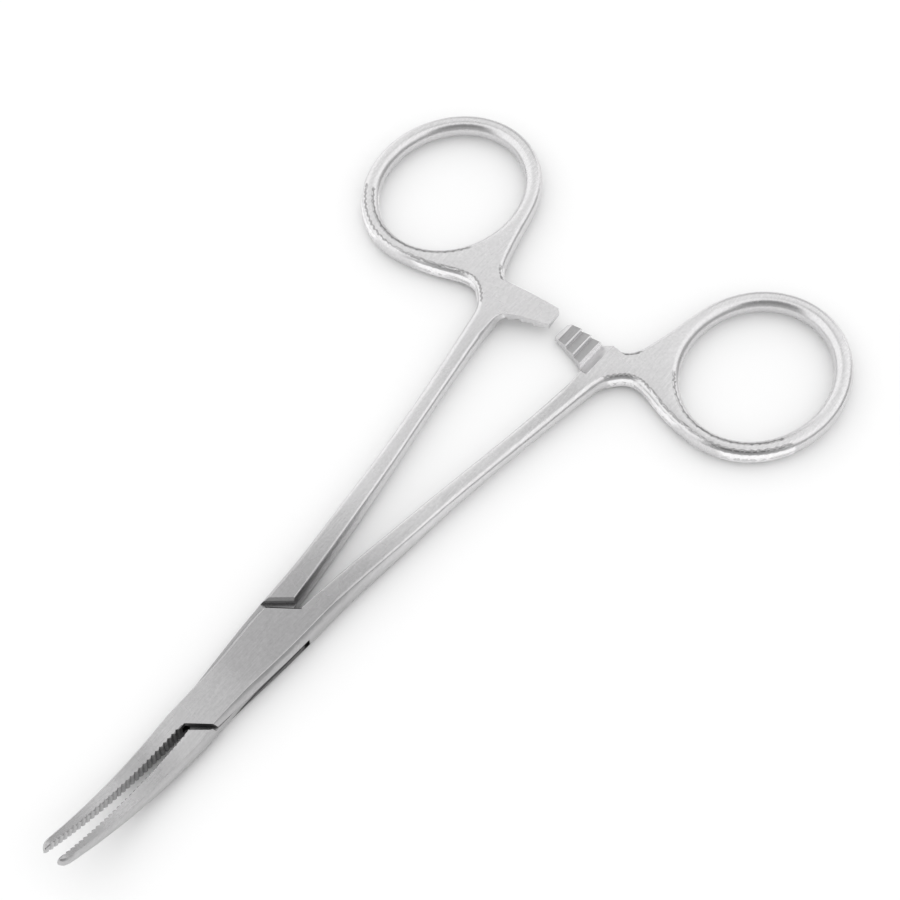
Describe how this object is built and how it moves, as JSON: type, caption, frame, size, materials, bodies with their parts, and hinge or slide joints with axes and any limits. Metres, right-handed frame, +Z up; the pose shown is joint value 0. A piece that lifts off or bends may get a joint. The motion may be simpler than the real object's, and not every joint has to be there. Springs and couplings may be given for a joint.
{
  "type": "hemostat forceps",
  "caption": "Curved fine-tipped locking forceps with finger rings, a ratchet, slender shanks, a box lock and cross-serrated jaws curving upward.",
  "frame": {"origin": "pivot axis where it meets the flat underside of the box lock, the lowest point of the forceps", "axes": "+X along the forceps toward the jaw tips, +Z up along the pivot axis, +Y toward the ring of the half with the box"},
  "size_m": [0.126, 0.0788, 0.0074],
  "materials": {
    "satin_steel": "satin stainless steel, lightly polished edges"
  },
  "bodies": {
    "box_half": {"female_half": "satin_steel", "pivot_pin": "satin_steel"},
    "tongue_half": {"male_half": "satin_steel"}
  },
  "joints": [
    {"name": "lock_hinge", "type": "hinge", "parent": "box_half", "child": "tongue_half", "pos_m": [0, 0, 0], "axis": [0, 0, 1], "range_deg": [-3.2, 56]}
  ]
}
